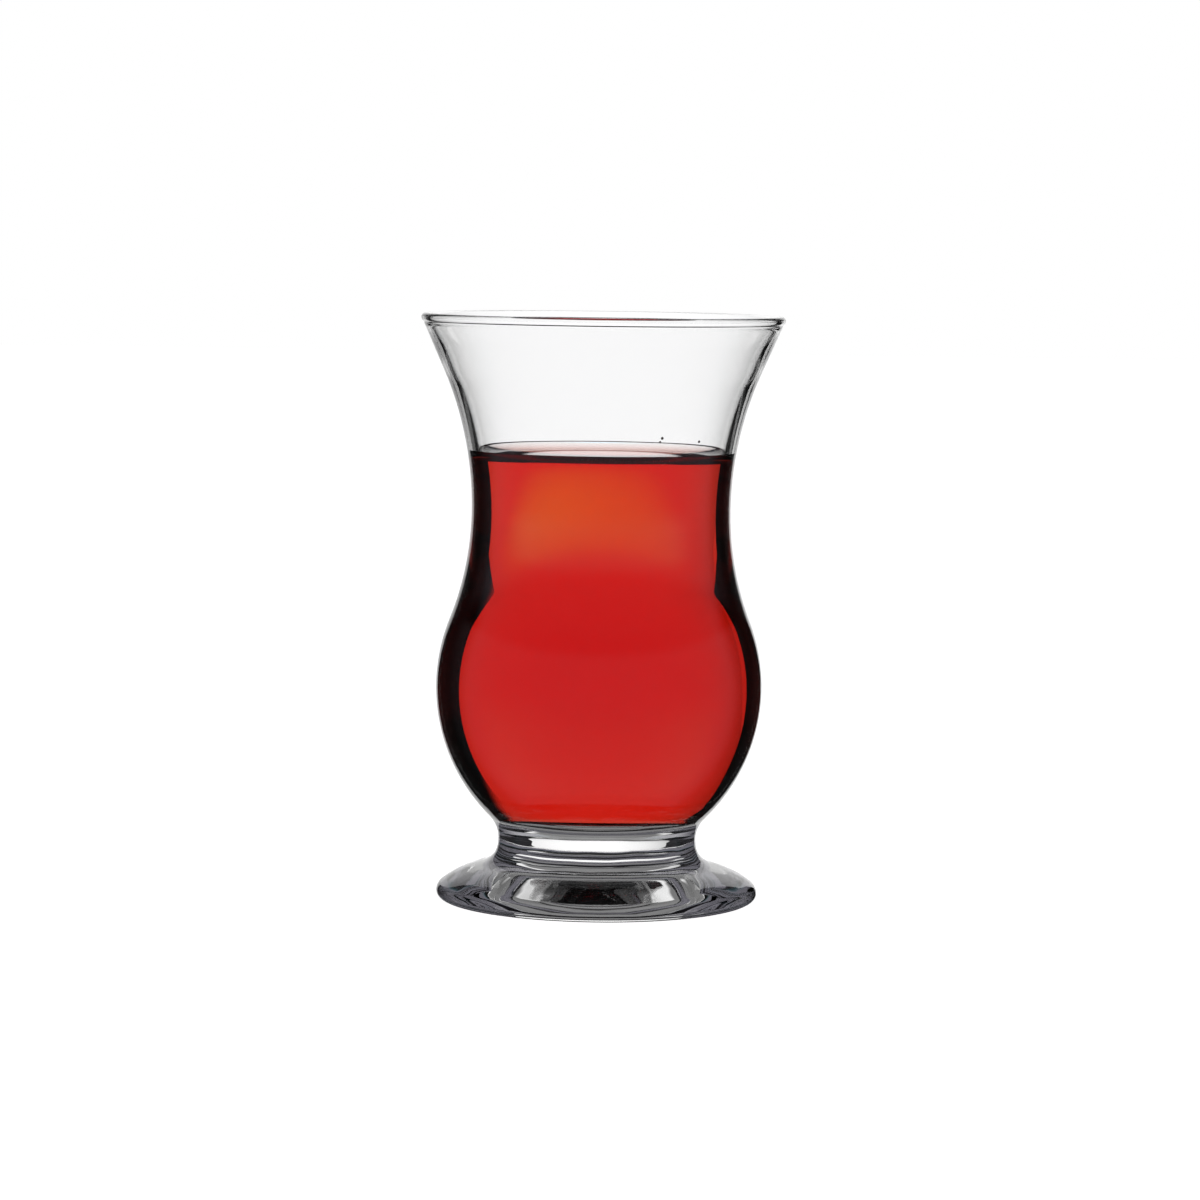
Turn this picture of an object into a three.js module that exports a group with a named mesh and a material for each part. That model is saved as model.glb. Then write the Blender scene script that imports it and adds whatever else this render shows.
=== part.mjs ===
// A footed Turkish tea glass, filled with black tea to a little below its flared rim.
//
// The glass is one piece: a round foot with a shallow hollow beneath it, a short solid stem,
// a round belly, a narrow waist and a flared mouth with a rounded lip. The tea is one solid
// that follows the inside of the bowl and climbs the wall a little at its edge.
//
// Millimetres, +Z up. The origin is the centre of the plane that the foot rests on.
// An outline point is (radius, height). Angles are in degrees, counted from straight outwards
// towards straight up, and every round stretch meets the next one without a corner.

import * as THREE from "three";

// Driving dimensions of the outside
const HEIGHT = 97;
const LIP_ROUND = 0.72;
const FLARE_ANGLE = 24.5;
const FLARE_SWEEP = 57;
const WAIST_RADIUS = 21.45;
const WAIST_HEIGHT = 64.8;
const WAIST_SWEEP = 50.2;
const BELLY_RADIUS = 27.05;
const BELLY_HEIGHT = 35.3;
const STEM_RADIUS = 16.5;
const STEM_FILLET = 5.5;

// Driving dimensions of the foot
const FOOT_RADIUS = 26.7;
const FOOT_UNDER_ROUND = 1.1;
const FOOT_EDGE_ROUND = 1.8;
const FOOT_EDGE_ANGLE = 53;
const FOOT_CROWN = 17;
const FOOT_CROWN_ANGLE = 77;
const REST_INNER_RADIUS = 21.5;
const HOLLOW_DEPTH = 2;

// Driving dimensions of the inside
const BOWL_FLARE_ANGLE = 24;
const BOWL_WAIST_RADIUS = 19.55;
const BOWL_WAIST_HEIGHT = 65.3;
const BOWL_WAIST_SWEEP = 51.5;
const BOWL_BELLY_RADIUS = 24.85;
const BOWL_BELLY_HEIGHT = 36.5;
const BOWL_CORNER_START = -37;
const BOWL_CORNER_ROUND = 9;
const BOWL_FLOOR_START = -80;

// Driving dimensions of the tea
const TEA_LEVEL = 73.4;
const TEA_CLIMB = 1.4;
const TEA_CLIMB_REACH = 1.8;
const TEA_EDGE_STEP = 0.9;
const TEA_CLEARANCE = 0.3;

// How finely the round shapes are cut into flat faces
const SEGMENTS_AROUND = 48;
const TEA_EDGE_STEPS = 7;

const radians = THREE.MathUtils.degToRad;
const degrees = THREE.MathUtils.radToDeg;

// A circle of the outline, by its centre and its radius
function circle(r, z, radius) {
  return { r, z, radius };
}

// The point of a circle at an angle
function pointOn({ r, z, radius }, angle) {
  return new THREE.Vector2(
    r + radius * Math.cos(radians(angle)),
    z + radius * Math.sin(radians(angle)),
  );
}

// Evenly spaced points along a circle, from one angle to another
function arc(round, from, to, steps) {
  const points = [];
  for (let step = 0; step <= steps; step += 1) {
    points.push(pointOn(round, from + ((to - from) * step) / steps));
  }
  return points;
}

// The direction from one circle's centre to another's
function bearing(from, to) {
  return degrees(Math.atan2(to.z - from.z, to.r - from.r));
}

// The bulge whose side touches a hollow sweep above it, from the widest and narrowest points.
// Where two circles touch from outside, their centres are as far apart as their radii together.
function bulgeBelow(waistRadius, waistHeight, sweep, bulgeRadius, bulgeHeight) {
  const out = bulgeRadius - waistRadius;
  const down = waistHeight - bulgeHeight;
  const radius = (down ** 2 + out ** 2) / (2 * out) - sweep;
  return circle(bulgeRadius - radius, bulgeHeight, radius);
}

// Points follow each other in one outline, so a point that repeats the one before it goes
function joined(...stretches) {
  const nearest = 1e-3;
  return stretches
    .flat()
    .filter((p, i, all) => i === 0 || p.distanceTo(all[i - 1]) > nearest);
}

// The circles of the outside, from the waist down
const waist = circle(WAIST_RADIUS + WAIST_SWEEP, WAIST_HEIGHT, WAIST_SWEEP);
const flare = circle(WAIST_RADIUS + FLARE_SWEEP, WAIST_HEIGHT, FLARE_SWEEP);
const belly = bulgeBelow(
  WAIST_RADIUS,
  WAIST_HEIGHT,
  WAIST_SWEEP,
  BELLY_RADIUS,
  BELLY_HEIGHT,
);

// The fillet between stem and belly touches the belly, which settles how high it lies
const stemCentreRadius = STEM_RADIUS + STEM_FILLET;
const stemDrop = Math.sqrt(
  (belly.radius + STEM_FILLET) ** 2 - (stemCentreRadius - belly.r) ** 2,
);
const stem = circle(stemCentreRadius, BELLY_HEIGHT - stemDrop, STEM_FILLET);

// The lip is a full round that the straight end of the flare runs into
const flareEnd = pointOn(flare, 180 - FLARE_ANGLE);
const lipHeight = HEIGHT - LIP_ROUND;
const lipRise = lipHeight - flareEnd.y - LIP_ROUND * Math.sin(radians(FLARE_ANGLE));
const lip = circle(
  flareEnd.x +
    lipRise * Math.tan(radians(FLARE_ANGLE)) -
    LIP_ROUND * Math.cos(radians(FLARE_ANGLE)),
  lipHeight,
  LIP_ROUND,
);

// The foot: a shallow hollow, a flat ring to rest on, a round edge and a crowned top
function footOutline() {
  const hollowRadius =
    (REST_INNER_RADIUS ** 2 + HOLLOW_DEPTH ** 2) / (2 * HOLLOW_DEPTH);
  const hollow = circle(0, HOLLOW_DEPTH - hollowRadius, hollowRadius);
  const hollowEnd = degrees(Math.acos(REST_INNER_RADIUS / hollowRadius));
  const under = circle(
    FOOT_RADIUS - FOOT_UNDER_ROUND,
    FOOT_UNDER_ROUND,
    FOOT_UNDER_ROUND,
  );
  const edge = circle(
    FOOT_RADIUS - FOOT_EDGE_ROUND,
    FOOT_UNDER_ROUND,
    FOOT_EDGE_ROUND,
  );
  const crownStart = pointOn(edge, FOOT_EDGE_ANGLE);
  const crown = circle(
    crownStart.x - FOOT_CROWN * Math.cos(radians(FOOT_EDGE_ANGLE)),
    crownStart.y - FOOT_CROWN * Math.sin(radians(FOOT_EDGE_ANGLE)),
    FOOT_CROWN,
  );
  // The root fillet leaves the crown and ends upright on the stem
  const crownEnd = pointOn(crown, FOOT_CROWN_ANGLE);
  const rootRadius =
    (crownEnd.x - STEM_RADIUS) / (1 - Math.cos(radians(FOOT_CROWN_ANGLE)));
  const root = circle(
    STEM_RADIUS + rootRadius,
    crownEnd.y + rootRadius * Math.sin(radians(FOOT_CROWN_ANGLE)),
    rootRadius,
  );
  return joined(
    arc(hollow, 90, hollowEnd, 3),
    arc(under, -90, 0, 3),
    arc(edge, 0, FOOT_EDGE_ANGLE, 2),
    arc(crown, FOOT_EDGE_ANGLE, FOOT_CROWN_ANGLE, 3),
    arc(root, 180 + FOOT_CROWN_ANGLE, 180, 4),
  );
}

// The outside of the bowl, from the stem up to the middle of the lip
function bowlOutside() {
  const stemTurn = bearing(stem, belly);
  const bellyTop = bearing(belly, waist);
  return joined(
    arc(stem, 180, stemTurn, 3),
    arc(belly, stemTurn - 180, bellyTop, 10),
    arc(waist, 180 + bellyTop, 180, 4),
    arc(flare, 180, 180 - FLARE_ANGLE, 5),
    arc(lip, -FLARE_ANGLE, 90, 3),
  );
}

// The inside of the bowl. Its flare is the circle that touches the straight run down from the lip.
const bowlLean = 180 - BOWL_FLARE_ANGLE;
const lipInside = pointOn(lip, bowlLean);
const bowlFlareSweep =
  ((lipInside.x - BOWL_WAIST_RADIUS) * Math.cos(radians(bowlLean)) +
    (lipInside.y - BOWL_WAIST_HEIGHT) * Math.sin(radians(bowlLean))) /
  (1 + Math.cos(radians(bowlLean)));
const bowlBelly = bulgeBelow(
  BOWL_WAIST_RADIUS,
  BOWL_WAIST_HEIGHT,
  BOWL_WAIST_SWEEP,
  BOWL_BELLY_RADIUS,
  BOWL_BELLY_HEIGHT,
);

// The inside wall from a height on the flare, or from its straight run, down to the axis.
// With a clearance it is drawn that much further in, as the outline of what fills the bowl.
function bowlInside(clearance, topHeight) {
  const upper = circle(
    BOWL_WAIST_RADIUS + bowlFlareSweep,
    BOWL_WAIST_HEIGHT,
    bowlFlareSweep + clearance,
  );
  const lower = circle(
    BOWL_WAIST_RADIUS + BOWL_WAIST_SWEEP,
    BOWL_WAIST_HEIGHT,
    BOWL_WAIST_SWEEP + clearance,
  );
  const bulge = circle(
    bowlBelly.r,
    bowlBelly.z,
    bowlBelly.radius - clearance,
  );
  const bulgeTop = bearing(bulge, lower);
  const cornerStart = pointOn(bowlBelly, BOWL_CORNER_START);
  const corner = circle(
    cornerStart.x - BOWL_CORNER_ROUND * Math.cos(radians(BOWL_CORNER_START)),
    cornerStart.y - BOWL_CORNER_ROUND * Math.sin(radians(BOWL_CORNER_START)),
    BOWL_CORNER_ROUND - clearance,
  );
  const floorRadius = -(corner.r / Math.cos(radians(BOWL_FLOOR_START)));
  const floor = circle(
    0,
    corner.z + floorRadius * Math.sin(radians(BOWL_FLOOR_START)),
    BOWL_CORNER_ROUND - floorRadius - clearance,
  );
  const flareSine = Math.min(
    (topHeight - upper.z) / upper.radius,
    Math.sin(radians(BOWL_FLARE_ANGLE)),
  );
  return joined(
    arc(upper, 180 - degrees(Math.asin(flareSine)), 180, 4),
    arc(lower, 180, 180 + bulgeTop, 4),
    arc(bulge, bulgeTop, BOWL_CORNER_START, 8),
    arc(corner, BOWL_CORNER_START, BOWL_FLOOR_START, 4),
    arc(floor, BOWL_FLOOR_START, -90, 2),
  );
}

// The surface of the tea, from its edge on the wall to the axis
function teaSurface(edgeRadius) {
  const points = [];
  for (let step = 0; step < TEA_EDGE_STEPS; step += 1) {
    const inwards = TEA_EDGE_STEP * step;
    const climb = TEA_CLIMB * Math.exp(-inwards / TEA_CLIMB_REACH);
    points.push(new THREE.Vector2(edgeRadius - inwards, TEA_LEVEL + climb));
  }
  points.push(new THREE.Vector2(0, TEA_LEVEL));
  return points;
}

// A solid of revolution about the Z axis from an outline that starts and ends on the axis
function turned(name, outline, material) {
  outline[0].x = 0;
  outline[outline.length - 1].x = 0;
  const mesh = new THREE.Mesh(
    new THREE.LatheGeometry(outline, SEGMENTS_AROUND),
    material,
  );
  mesh.name = name;
  mesh.rotation.x = Math.PI / 2;
  return mesh;
}

const clearGlass = new THREE.MeshStandardMaterial({
  color: 0xf2f6f6,
  roughness: 0.03,
  metalness: 0,
  transparent: true,
  opacity: 0.3,
});

const blackTea = new THREE.MeshStandardMaterial({
  color: 0xc4281c,
  roughness: 0.02,
  metalness: 0,
  transparent: true,
  opacity: 0.9,
});

function makeGlass() {
  const outline = joined(
    footOutline(),
    bowlOutside(),
    arc(lip, 90, bowlLean, 2),
    bowlInside(0, HEIGHT),
  );
  return turned("glass", outline, clearGlass);
}

function makeTea() {
  const wall = bowlInside(TEA_CLEARANCE, TEA_LEVEL + TEA_CLIMB);
  const outline = joined(wall.slice().reverse(), teaSurface(wall[0].x));
  return turned("tea", outline, blackTea);
}

const teaGlass = new THREE.Group();
teaGlass.add(makeGlass(), makeTea());

export default teaGlass;
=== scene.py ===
# %% [markdown]
# # A footed tea glass, filled with black tea
#
# The real thing is made from one lump of clear glass: a pressed foot, a short solid stem, a round
# belly, a narrow waist and a thin flared mouth with a fire-rounded lip. Nearly everything that the
# eye reads as its look is light that the glass and the tea bend, so the lesson spends its effort
# on true outlines, true refraction and a lit room that is worth bending.
#
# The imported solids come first. They are plain facets, and they fix where everything lies. The
# finished glass and tea are turned again here with four times as many steps, because in clear
# glass every facet would show twice, once on the front wall and once on the back.

# %% Load the frame
import math

import bpy
from mathutils import Matrix


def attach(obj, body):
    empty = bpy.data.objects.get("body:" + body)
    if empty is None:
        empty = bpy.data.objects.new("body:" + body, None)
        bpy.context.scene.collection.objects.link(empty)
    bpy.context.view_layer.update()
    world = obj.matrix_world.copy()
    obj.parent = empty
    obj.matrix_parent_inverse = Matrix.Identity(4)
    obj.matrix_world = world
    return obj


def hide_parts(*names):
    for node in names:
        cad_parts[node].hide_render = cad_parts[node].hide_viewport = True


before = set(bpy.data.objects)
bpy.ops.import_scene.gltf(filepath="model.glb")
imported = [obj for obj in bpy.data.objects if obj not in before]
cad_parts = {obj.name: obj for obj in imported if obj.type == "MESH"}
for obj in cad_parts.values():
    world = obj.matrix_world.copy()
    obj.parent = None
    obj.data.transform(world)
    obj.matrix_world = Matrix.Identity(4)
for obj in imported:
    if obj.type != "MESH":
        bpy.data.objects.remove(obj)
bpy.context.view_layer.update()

print("frame nodes", sorted(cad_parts))

# %% [markdown]
# ## The outline of the glass
#
# A turned thing is one outline that goes once round an axis. The outline could be drawn by hand
# as a Bezier curve, but a mould is cut from arcs that run into each other without a corner, so
# the outline here is a chain of arcs as well. Each arc is a circle, a start angle and an end
# angle, and only a few sizes are free: the others follow from the rule that arcs touch.
# Sizes are in millimetres until the mesh is made. An outline point is (radius, height).

# %% Sizes of the glass, in millimetres
MM = 0.001

HEIGHT = 97.0
LIP_ROUND = 0.72
LIP_INSIDE_BOX = 0.03
FLARE_ANGLE = 24.5
FLARE_SWEEP = 57.0
WAIST_RADIUS = 21.45
WAIST_HEIGHT = 64.8
WAIST_SWEEP = 50.2
BELLY_RADIUS = 27.05
BELLY_HEIGHT = 35.3
STEM_RADIUS = 16.5
STEM_FILLET = 5.5

FOOT_RADIUS = 26.7
FOOT_UNDER_ROUND = 1.1
FOOT_EDGE_ROUND = 1.8
FOOT_EDGE_ANGLE = 53.0
FOOT_CROWN = 17.0
FOOT_CROWN_ANGLE = 77.0
REST_INNER_RADIUS = 21.5
HOLLOW_DEPTH = 2.0

BOWL_FLARE_ANGLE = 24.0
BOWL_WAIST_RADIUS = 19.55
BOWL_WAIST_HEIGHT = 65.3
BOWL_WAIST_SWEEP = 51.5
BOWL_BELLY_RADIUS = 24.85
BOWL_BELLY_HEIGHT = 36.5
BOWL_CORNER_START = -37.0
BOWL_CORNER_ROUND = 9.0
BOWL_FLOOR_START = -80.0

# %% [markdown]
# Small helpers draw the arcs: a point on a circle, a run of points along it, the direction from
# one centre to the next, and the one rule that saves most measuring. A bulge that has to touch
# the hollow sweep above it needs only its widest point to be known. The last helper joins the
# runs into one outline.

# %% Circles, arcs and how they join
def sin(angle):
    return math.sin(math.radians(angle))


def cos(angle):
    return math.cos(math.radians(angle))


def point_on(circle, angle):
    r, z, radius = circle
    return (r + radius * cos(angle), z + radius * sin(angle))


def arc(circle, start, end, steps):
    """Evenly spaced points along a circle, from one angle to another."""
    return [point_on(circle, start + (end - start) * i / steps) for i in range(steps + 1)]


def bearing(a, b):
    """The direction from one circle's centre to another's."""
    return math.degrees(math.atan2(b[1] - a[1], b[0] - a[0]))


def bulge_below(waist_radius, waist_height, sweep, radius, height):
    """The bulge that touches the hollow sweep above it, by its widest and narrowest points."""
    out, down = radius - waist_radius, waist_height - height
    bend = (down**2 + out**2) / (2 * out) - sweep
    return (radius - bend, height, bend)


SAME_POINT = 1e-4


def joined(*runs):
    """One outline from several runs, without the points that two runs share."""
    line = []
    for point in (p for run in runs for p in run):
        if not line or math.dist(line[-1], point) > SAME_POINT:
            line.append(point)
    return line


# %% [markdown]
# ## The foot
#
# The foot is pressed: a flat ring to stand on round a shallow hollow, a small round under the
# edge, a crowned top that runs up in one sweep into the stem. It could be a lathe curve drawn by
# eye, but the sweep has to meet both the crown and the stem without a crease, or the crease draws
# a bright ring in the render. So each arc starts where the last one ends.

# %% The foot
def foot_outline():
    hollow_bend = (REST_INNER_RADIUS**2 + HOLLOW_DEPTH**2) / (2 * HOLLOW_DEPTH)
    hollow = (0, HOLLOW_DEPTH - hollow_bend, hollow_bend)
    hollow_end = math.degrees(math.acos(REST_INNER_RADIUS / hollow_bend))
    under = (FOOT_RADIUS - FOOT_UNDER_ROUND, FOOT_UNDER_ROUND, FOOT_UNDER_ROUND)
    edge = (FOOT_RADIUS - FOOT_EDGE_ROUND, FOOT_UNDER_ROUND, FOOT_EDGE_ROUND)
    start = point_on(edge, FOOT_EDGE_ANGLE)
    crown = (
        start[0] - FOOT_CROWN * cos(FOOT_EDGE_ANGLE),
        start[1] - FOOT_CROWN * sin(FOOT_EDGE_ANGLE),
        FOOT_CROWN,
    )
    end = point_on(crown, FOOT_CROWN_ANGLE)
    root_bend = (end[0] - STEM_RADIUS) / (1 - cos(FOOT_CROWN_ANGLE))
    root = (STEM_RADIUS + root_bend, end[1] + root_bend * sin(FOOT_CROWN_ANGLE), root_bend)
    return joined(
        arc(hollow, 90, hollow_end, 16),
        arc(under, -90, 0, 8),
        arc(edge, 0, FOOT_EDGE_ANGLE, 8),
        arc(crown, FOOT_EDGE_ANGLE, FOOT_CROWN_ANGLE, 10),
        arc(root, 180 + FOOT_CROWN_ANGLE, 180, 16),
    )


# %% [markdown]
# ## The bowl's wall and its rounded lip
#
# The mouth of such a glass is melted round in a flame after it is cut. The melt draws up into a
# bead that is a little thicker than the wall below it. The bead is a small lens: seen from the
# side it shows two thin dark lines with a light band between them. A plain half-round on the
# wall's end shows one thick dark line instead, so the wall is drawn in a little under the bead.

# %% The outside of the bowl, and the lip
waist = (WAIST_RADIUS + WAIST_SWEEP, WAIST_HEIGHT, WAIST_SWEEP)
flare = (WAIST_RADIUS + FLARE_SWEEP, WAIST_HEIGHT, FLARE_SWEEP)
belly = bulge_below(WAIST_RADIUS, WAIST_HEIGHT, WAIST_SWEEP, BELLY_RADIUS, BELLY_HEIGHT)
stem_drop = math.sqrt((belly[2] + STEM_FILLET) ** 2 - (STEM_RADIUS + STEM_FILLET - belly[0]) ** 2)
stem = (STEM_RADIUS + STEM_FILLET, BELLY_HEIGHT - stem_drop, STEM_FILLET)
flare_end = point_on(flare, 180 - FLARE_ANGLE)
lip_height = HEIGHT - LIP_ROUND
lip_rise = lip_height - flare_end[1] - LIP_ROUND * sin(FLARE_ANGLE)
lip = (
    flare_end[0] + lip_rise * math.tan(math.radians(FLARE_ANGLE))
    - LIP_ROUND * cos(FLARE_ANGLE) - LIP_INSIDE_BOX,
    lip_height,
    LIP_ROUND,
)


# %% The wall under the lip is thinner than the bead
DRAWN_IN = 0.14
DRAWN_FROM, DRAWN_FULL = 88.0, 95.0
BEAD_OUTER_ANGLE = -68.0
BEAD_INNER_ANGLE = 200.0
BEAD_CLEAR = 0.12


def eased(value, start, end):
    """0 before the start, 1 after the end, and a soft S between them."""
    share = min(1, max(0, (value - start) / (end - start)))
    return share * share * (3 - 2 * share)


def drawn_in(circle, line, inwards):
    """Wall points moved towards the middle of the wall, up to just under the bead."""
    top = point_on(lip, BEAD_INNER_ANGLE if inwards < 0 else BEAD_OUTER_ANGLE)[1] - BEAD_CLEAR
    moved = []
    for r, z in line:
        amount = inwards * DRAWN_IN * eased(z, DRAWN_FROM, DRAWN_FULL)
        away = math.dist((r, z), circle[:2])
        point = (r + (r - circle[0]) / away * amount, z + (z - circle[1]) / away * amount)
        if point[1] < top:
            moved.append(point)
    return moved


def straight(start, angle, length, step=0.5):
    """Points along a straight wall that leans outwards by an angle, close enough to shade well."""
    steps = round(length / step)
    return [(start[0] + step * i * sin(angle), start[1] + step * i * cos(angle)) for i in range(steps)]


def bowl_outside():
    stem_turn, belly_top = bearing(stem, belly), bearing(belly, waist)
    return joined(
        arc(stem, 180, stem_turn, 14),
        arc(belly, stem_turn - 180, belly_top, 44),
        arc(waist, 180 + belly_top, 180, 20),
        drawn_in(flare, arc(flare, 180, 180 - FLARE_ANGLE, 36), 1),
        drawn_in(flare, straight(flare_end, FLARE_ANGLE, HEIGHT - flare_end[1]), 1),
        arc(lip, BEAD_OUTER_ANGLE, 90, 18),
    )


# %% [markdown]
# The inside of the bowl is a second chain of arcs, not the outside moved inwards: the real wall is
# thin at the waist and thick at the floor. The tea follows the same chain, so it is written once,
# with a distance that moves it outwards into the glass.

# %% The inside of the bowl, which the tea follows too
bowl_lean = 180 - BOWL_FLARE_ANGLE
lip_inside = point_on(lip, bowl_lean)
bowl_flare_sweep = (
    (lip_inside[0] - BOWL_WAIST_RADIUS) * cos(bowl_lean)
    + (lip_inside[1] - BOWL_WAIST_HEIGHT) * sin(bowl_lean)
) / (1 + cos(bowl_lean))
bowl_belly = bulge_below(
    BOWL_WAIST_RADIUS, BOWL_WAIST_HEIGHT, BOWL_WAIST_SWEEP, BOWL_BELLY_RADIUS, BOWL_BELLY_HEIGHT
)


def bowl_inside(outwards, top_height):
    """The inside wall from a height down to the axis, moved outwards into the glass if asked."""
    upper = (BOWL_WAIST_RADIUS + bowl_flare_sweep, BOWL_WAIST_HEIGHT, bowl_flare_sweep - outwards)
    lower = (BOWL_WAIST_RADIUS + BOWL_WAIST_SWEEP, BOWL_WAIST_HEIGHT, BOWL_WAIST_SWEEP - outwards)
    bulge = (bowl_belly[0], bowl_belly[1], bowl_belly[2] + outwards)
    bulge_top = bearing(bulge, lower)
    start = point_on(bowl_belly, BOWL_CORNER_START)
    corner_r = start[0] - BOWL_CORNER_ROUND * cos(BOWL_CORNER_START)
    corner_z = start[1] - BOWL_CORNER_ROUND * sin(BOWL_CORNER_START)
    corner = (corner_r, corner_z, BOWL_CORNER_ROUND + outwards)
    floor_bend = corner_r / cos(BOWL_FLOOR_START)
    floor_z = corner_z - floor_bend * sin(BOWL_FLOOR_START)
    floor = (0, floor_z, BOWL_CORNER_ROUND + floor_bend + outwards)
    flare_sine = min((top_height - upper[1]) / upper[2], sin(BOWL_FLARE_ANGLE))
    flare_turn = 180 - math.degrees(math.asin(flare_sine))
    flare_top = point_on(upper, flare_turn)
    above = straight(flare_top, BOWL_FLARE_ANGLE, top_height - flare_top[1])
    return joined(
        drawn_in(upper, above, -1)[::-1],
        drawn_in(upper, arc(upper, flare_turn, 180, 36), -1),
        arc(lower, 180, 180 + bulge_top, 20),
        arc(bulge, bulge_top, BOWL_CORNER_START, 34),
        arc(corner, BOWL_CORNER_START, BOWL_FLOOR_START, 14),
        arc(floor, BOWL_FLOOR_START, -90, 10),
    )


# %% [markdown]
# ## From outline to solid
#
# Blender's Screw modifier would turn a curve into a surface, but it leaves the poles open or
# doubled. Written out, the turning is short: one ring of points for each outline point, a single
# point where the outline meets the axis, and a strip of quads between neighbours.

# %% Turn an outline into a mesh
def turned(name, outline, steps):
    """A closed mesh of revolution. The outline starts and ends on the axis, material on its left."""
    verts, rings = [], []
    for index, (r, z) in enumerate(outline):
        on_axis = index in (0, len(outline) - 1)
        count = 1 if on_axis else steps
        rings.append([len(verts) + i for i in range(count)])
        for i in range(count):
            turn = 2 * math.pi * i / steps
            reach = 0 if on_axis else r
            verts.append((reach * math.cos(turn) * MM, reach * math.sin(turn) * MM, z * MM))
    faces = []
    for low, high in zip(rings, rings[1:]):
        for i in range(steps):
            j = (i + 1) % steps
            quad = [low[i % len(low)], low[j % len(low)], high[j % len(high)], high[i % len(high)]]
            faces.append(list(dict.fromkeys(quad)))
    mesh = bpy.data.meshes.new(name)
    mesh.from_pydata(verts, [], faces)
    mesh.validate()
    mesh.shade_smooth()
    piece = bpy.data.objects.new(name, mesh)
    bpy.context.scene.collection.objects.link(piece)
    print(name, len(verts), "vertices", len(faces), "faces")
    return piece


# %% [markdown]
# ## What the press leaves behind
#
# The stem and foot are pressed in an iron mould and never blown, so their skin keeps soft, shallow
# waves a few hundredths of a millimetre high. They are why the bright lines in a real foot wander
# instead of running in perfect rings. A bump map could fake them, but a bump is ignored where the
# light leaves the glass again, and a real wave bends it both ways. So the waves are moved points,
# by a small Geometry Nodes tree: it pushes each point along its normal by a noise that fades out
# above the stem and at the ring that the foot stands on.

# %% A helper for node trees: add a node, set it, wire it
def add_node(tree, kind, settings=(), **inputs):
    """Add a node. Settings are its own properties; inputs are values or other nodes' sockets."""
    node = tree.nodes.new(kind)
    for name, value in dict(settings).items():
        setattr(node, name, value)
    for name, value in inputs.items():
        wanted = name.replace("_", " ").lower()
        socket = next(s for s in node.inputs if s.enabled and s.name.lower() == wanted)
        if isinstance(value, bpy.types.NodeSocket):
            tree.links.new(value, socket)
        else:
            socket.default_value = value
    return node


def sums(tree, operation, a, b=0):
    """One Math node on one or two values or sockets."""
    node = tree.nodes.new("ShaderNodeMath")
    node.operation = operation
    for socket, value in zip(node.inputs, (a, b)):
        if isinstance(value, bpy.types.NodeSocket):
            tree.links.new(value, socket)
        else:
            socket.default_value = value
    return node.outputs[0]


def product(tree, *values):
    """Several values or sockets multiplied, one Math node after another."""
    result = values[0]
    for value in values[1:]:
        result = sums(tree, "MULTIPLY", result, value)
    return result


def fade(tree, value, start, end):
    """A soft ramp from 0 at the start to 1 at the end; the start may be the larger one."""
    node = add_node(tree, "ShaderNodeMapRange", {"interpolation_type": "SMOOTHSTEP"})
    tree.links.new(value, node.inputs["Value"])
    for name, bound in (("From Min", start), ("From Max", end)):
        if isinstance(bound, bpy.types.NodeSocket):
            tree.links.new(bound, node.inputs[name])
        else:
            node.inputs[name].default_value = bound
    return node.outputs["Result"]


# %% The tree that makes press waves
NOISE_MIDDLE = 0.5


def press_wave_tree():
    tree = bpy.data.node_groups.new("press_waves", "GeometryNodeTree")
    face = tree.interface
    face.new_socket("Geometry", in_out="INPUT", socket_type="NodeSocketGeometry")
    for name, value in (("Wave height", 0.0001), ("Waves per metre", 100.0),
                        ("Flat below", 0.0), ("Full above", 0.001),
                        ("Full below", 0.01), ("Flat above", 0.02)):
        socket = face.new_socket(name, in_out="INPUT", socket_type="NodeSocketFloat")
        socket.default_value = value
    face.new_socket("Finish", in_out="INPUT", socket_type="NodeSocketMaterial")
    face.new_socket("Geometry", in_out="OUTPUT", socket_type="NodeSocketGeometry")
    given = tree.nodes.new("NodeGroupInput").outputs
    place = tree.nodes.new("GeometryNodeInputPosition").outputs[0]
    height = add_node(tree, "ShaderNodeSeparateXYZ", Vector=place).outputs["Z"]
    noise = add_node(tree, "ShaderNodeTexNoise", {"noise_dimensions": "3D"}, Vector=place,
                     Scale=given["Waves per metre"], Detail=1.5, Roughness=0.5)
    wave = product(tree, sums(tree, "SUBTRACT", noise.outputs[0], NOISE_MIDDLE), given["Wave height"])
    low = fade(tree, height, given["Flat below"], given["Full above"])
    high = fade(tree, height, given["Flat above"], given["Full below"])
    wave = product(tree, low, high, wave)
    normal = tree.nodes.new("GeometryNodeInputNormal").outputs[0]
    push = add_node(tree, "ShaderNodeVectorMath", {"operation": "SCALE"}, Vector=normal, Scale=wave)
    moved = add_node(tree, "GeometryNodeSetPosition", Geometry=given["Geometry"],
                     Offset=push.outputs[0])
    real = add_node(tree, "GeometryNodeRealizeInstances", Geometry=moved.outputs[0])
    dressed = add_node(tree, "GeometryNodeSetMaterial", Geometry=real.outputs[0],
                       Material=given["Finish"])
    sink = tree.nodes.new("NodeGroupOutput")
    tree.links.new(dressed.outputs[0], sink.inputs[0])
    return tree


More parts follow.
